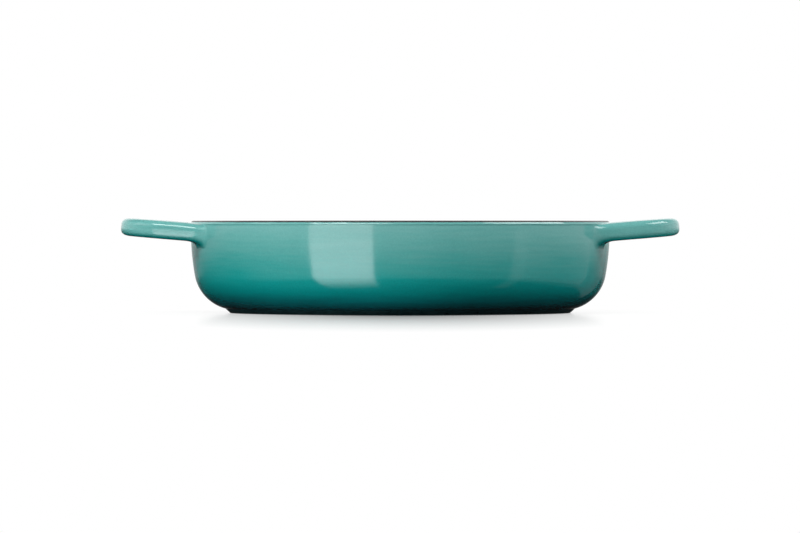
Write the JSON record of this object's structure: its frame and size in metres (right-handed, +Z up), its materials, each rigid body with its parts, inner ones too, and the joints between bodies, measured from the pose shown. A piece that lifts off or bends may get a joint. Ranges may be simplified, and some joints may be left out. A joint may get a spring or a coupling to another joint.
{
  "type": "braiser",
  "caption": "Shallow round enamelled cast-iron braiser with a bowed wall, rounded corner, low foot and a cast loop handle on either side. No lid.",
  "frame": {"origin": "on the table under the middle of the foot, which is the bottom centre of the object's box", "axes": "+X along the line through both loop handles, +Y across them towards the back, +Z up"},
  "size_m": [0.3996, 0.3, 0.0677],
  "materials": {
    "cast_iron": "sand-cast, shot-blasted",
    "teal_enamel": "gloss vitreous enamel, paler at the rim and darker at the foot",
    "satin_black_enamel": "satin vitreous enamel",
    "dark_rim_enamel": "semi-matt ground enamel",
    "dark_base_enamel": "semi-gloss vitreous enamel"
  },
  "bodies": {
    "root": {"iron_casting": "cast_iron", "exterior_enamel": "teal_enamel", "interior_enamel": "satin_black_enamel", "rim_enamel": "dark_rim_enamel", "base_enamel": "dark_base_enamel"}
  },
  "joints": []
}
